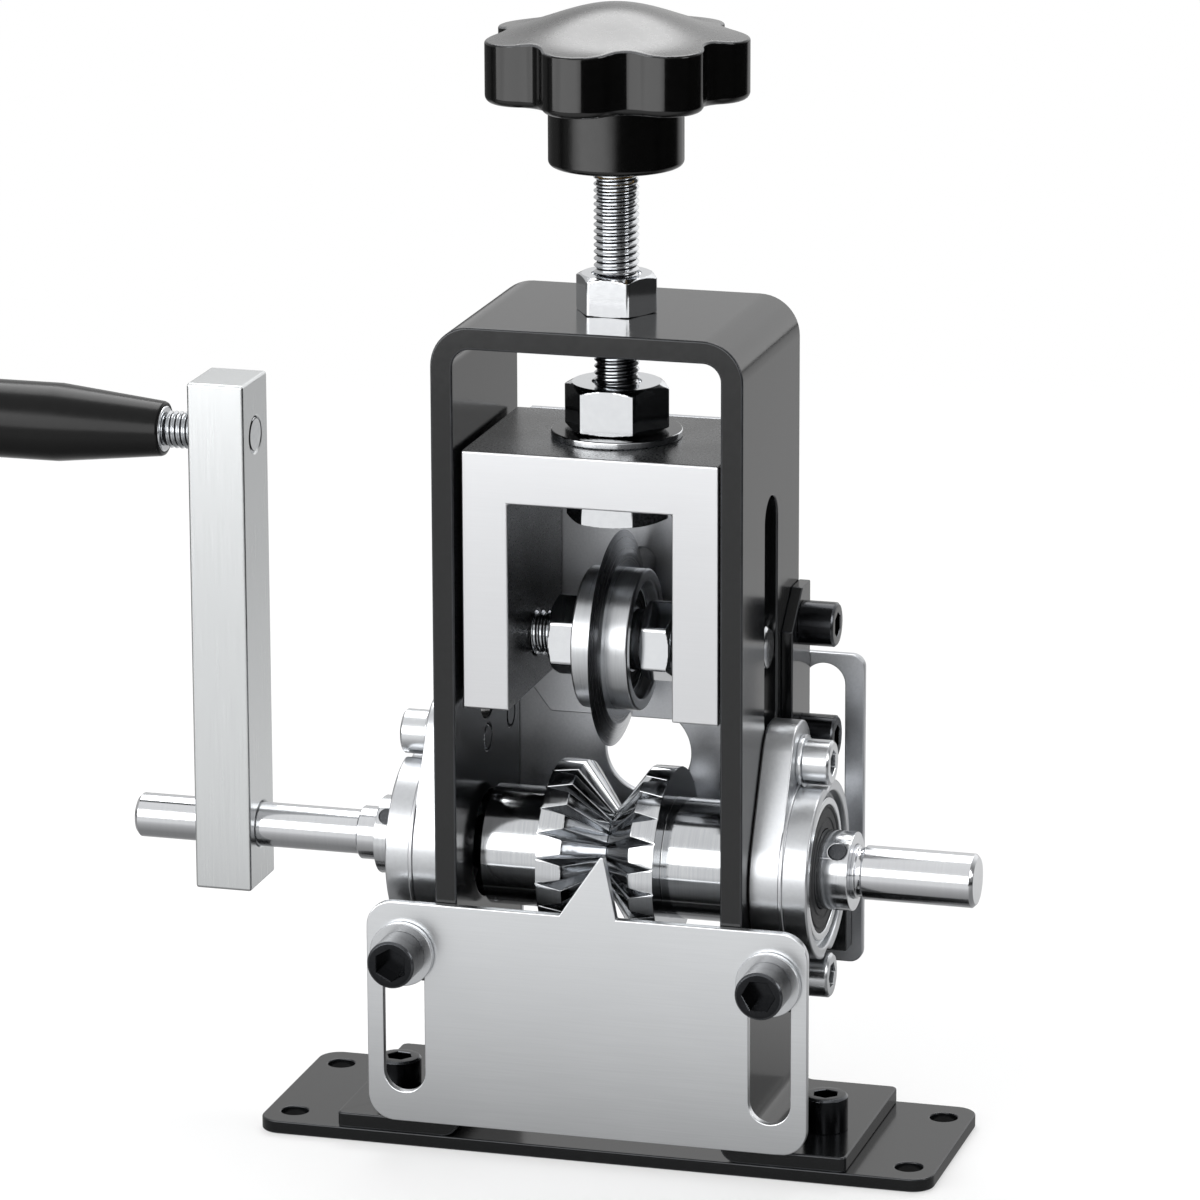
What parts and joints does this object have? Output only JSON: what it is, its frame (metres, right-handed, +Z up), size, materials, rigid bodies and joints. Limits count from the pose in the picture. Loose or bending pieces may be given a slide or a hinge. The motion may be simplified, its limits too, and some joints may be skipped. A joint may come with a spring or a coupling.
{
  "type": "wire stripping machine",
  "caption": "Bench wire stripper: toothed feed roller on a cranked shaft under a round blade on a screw-adjusted carriage in a strip-steel frame.",
  "frame": {"origin": "centre of the base plate's underside", "axes": "+X along the shaft towards the drive stub, -Y towards the user, +Z up along the adjusting screw"},
  "size_m": [0.2659, 0.0738, 0.2561],
  "materials": {
    "black_painted_steel": "satin black paint on steel strip",
    "black_oxide_screws": "black oxide, lightly oiled",
    "bright_zinc": "bright zinc plating",
    "cast_housing": "satin cast zinc alloy",
    "bearing_steel": "polished bearing steel",
    "brass": "turned brass",
    "dark_seal": "dark bearing shield",
    "ground_shaft_steel": "ground bright shaft",
    "polished_roller_steel": "polished steel teeth",
    "satin_bar_steel": "satin bar",
    "threaded_steel": "bright threaded steel",
    "black_bakelite": "gloss black phenolic",
    "blackened_carriage_steel": "black with a ground bright front face",
    "satin_plate_steel": "satin plate",
    "blade_steel": "dark ground tool steel"
  },
  "bodies": {
    "stand": {"base_plate": "black_painted_steel", "frame": "black_painted_steel", "foot_screws": "black_oxide_screws", "top_nut": "bright_zinc", "left_housing": "cast_housing", "right_housing": "cast_housing", "left_outer_ring": "bearing_steel", "right_outer_ring": "bearing_steel", "left_shields": "dark_seal", "right_shields": "dark_seal", "bearing_screws": "bright_zinc", "bearing_washers": "bright_zinc", "front_lugs": "black_painted_steel", "rear_lugs": "black_painted_steel", "front_plate_screws": "black_oxide_screws", "front_plate_washers": "bright_zinc", "rear_plate_screws": "black_oxide_screws", "rear_plate_washers": "bright_zinc", "side_straps": "black_painted_steel", "strap_screws": "black_oxide_screws"},
    "drive": {"drive_shaft": "ground_shaft_steel", "feed_roller": "polished_roller_steel", "roller_grub_screws": "black_oxide_screws", "left_inner_ring": "bearing_steel", "right_inner_ring": "bearing_steel", "ring_grub_screws": "black_oxide_screws", "crank_arm": "satin_bar_steel", "arm_grub_screw": "black_oxide_screws", "handle_stud": "threaded_steel", "handle_end_screw": "threaded_steel"},
    "handle": {"handle_grip": "black_bakelite", "handle_ferrule": "threaded_steel"},
    "left_ball_set": {"left_balls": "bearing_steel", "left_cage": "brass"},
    "right_ball_set": {"right_balls": "bearing_steel", "right_cage": "brass"},
    "carriage": {"carriage_block": "blackened_carriage_steel", "carriage_back": "satin_plate_steel", "carriage_washers": "bright_zinc", "blade_axle": "threaded_steel", "axle_nuts": "bright_zinc", "blade_inner_ring": "bearing_steel", "blade_spacers": "bearing_steel"},
    "screw": {"adjusting_screw": "threaded_steel", "knob": "black_bakelite", "knob_insert": "brass", "upper_lock_nut": "bright_zinc", "lower_lock_nut": "bright_zinc"},
    "blade": {"blade_disc": "blade_steel", "blade_hub": "blade_steel", "blade_outer_ring": "bearing_steel", "blade_shields": "dark_seal"},
    "blade_ball_set": {"blade_balls": "bearing_steel", "blade_cage": "brass"},
    "front_guide": {"front_plate": "satin_plate_steel"},
    "rear_guide": {"rear_plate": "satin_plate_steel"}
  },
  "joints": [
    {"name": "crank_turn", "type": "hinge", "parent": "stand", "child": "drive", "pos_m": [0, 0, 0.0645], "axis": [1, 0, 0], "continuous": true},
    {"name": "handle_spin", "type": "hinge", "parent": "drive", "child": "handle", "pos_m": [-0.14, 0, 0.1549], "axis": [1, 0, 0], "continuous": true},
    {"name": "left_balls_turn", "type": "hinge", "parent": "stand", "child": "left_ball_set", "pos_m": [-0.0425, 0, 0.0645], "axis": [1, 0, 0], "continuous": true},
    {"name": "right_balls_turn", "type": "hinge", "parent": "stand", "child": "right_ball_set", "pos_m": [0.0425, 0, 0.0645], "axis": [1, 0, 0], "continuous": true},
    {"name": "carriage_slide", "type": "slide", "parent": "stand", "child": "carriage", "axis": [0, 0, 1], "range_m": [-0.015, 0.0105]},
    {"name": "knob_turn", "type": "hinge", "parent": "carriage", "child": "screw", "pos_m": [0, 0, 0.2], "axis": [0, 0, 1], "range_deg": [-3601, 2521]},
    {"name": "blade_spin", "type": "hinge", "parent": "carriage", "child": "blade", "pos_m": [0, 0, 0.114], "axis": [1, 0, 0], "continuous": true},
    {"name": "blade_balls_turn", "type": "hinge", "parent": "carriage", "child": "blade_ball_set", "pos_m": [0, 0, 0.114], "axis": [1, 0, 0], "continuous": true},
    {"name": "front_plate_slide", "type": "slide", "parent": "stand", "child": "front_guide", "axis": [0, 0, 1], "range_m": [0, 0.029]},
    {"name": "rear_plate_slide", "type": "slide", "parent": "stand", "child": "rear_guide", "axis": [0, 0, 1], "range_m": [-0.028, 0.005]}
  ],
  "couplings": [
    {"joint": "knob_turn", "follows": "carriage_slide", "rad_per_m": 4188.8},
    {"joint": "left_balls_turn", "follows": "crank_turn", "ratio": 0.3696},
    {"joint": "right_balls_turn", "follows": "crank_turn", "ratio": 0.3696},
    {"joint": "blade_balls_turn", "follows": "blade_spin", "ratio": 0.627}
  ]
}
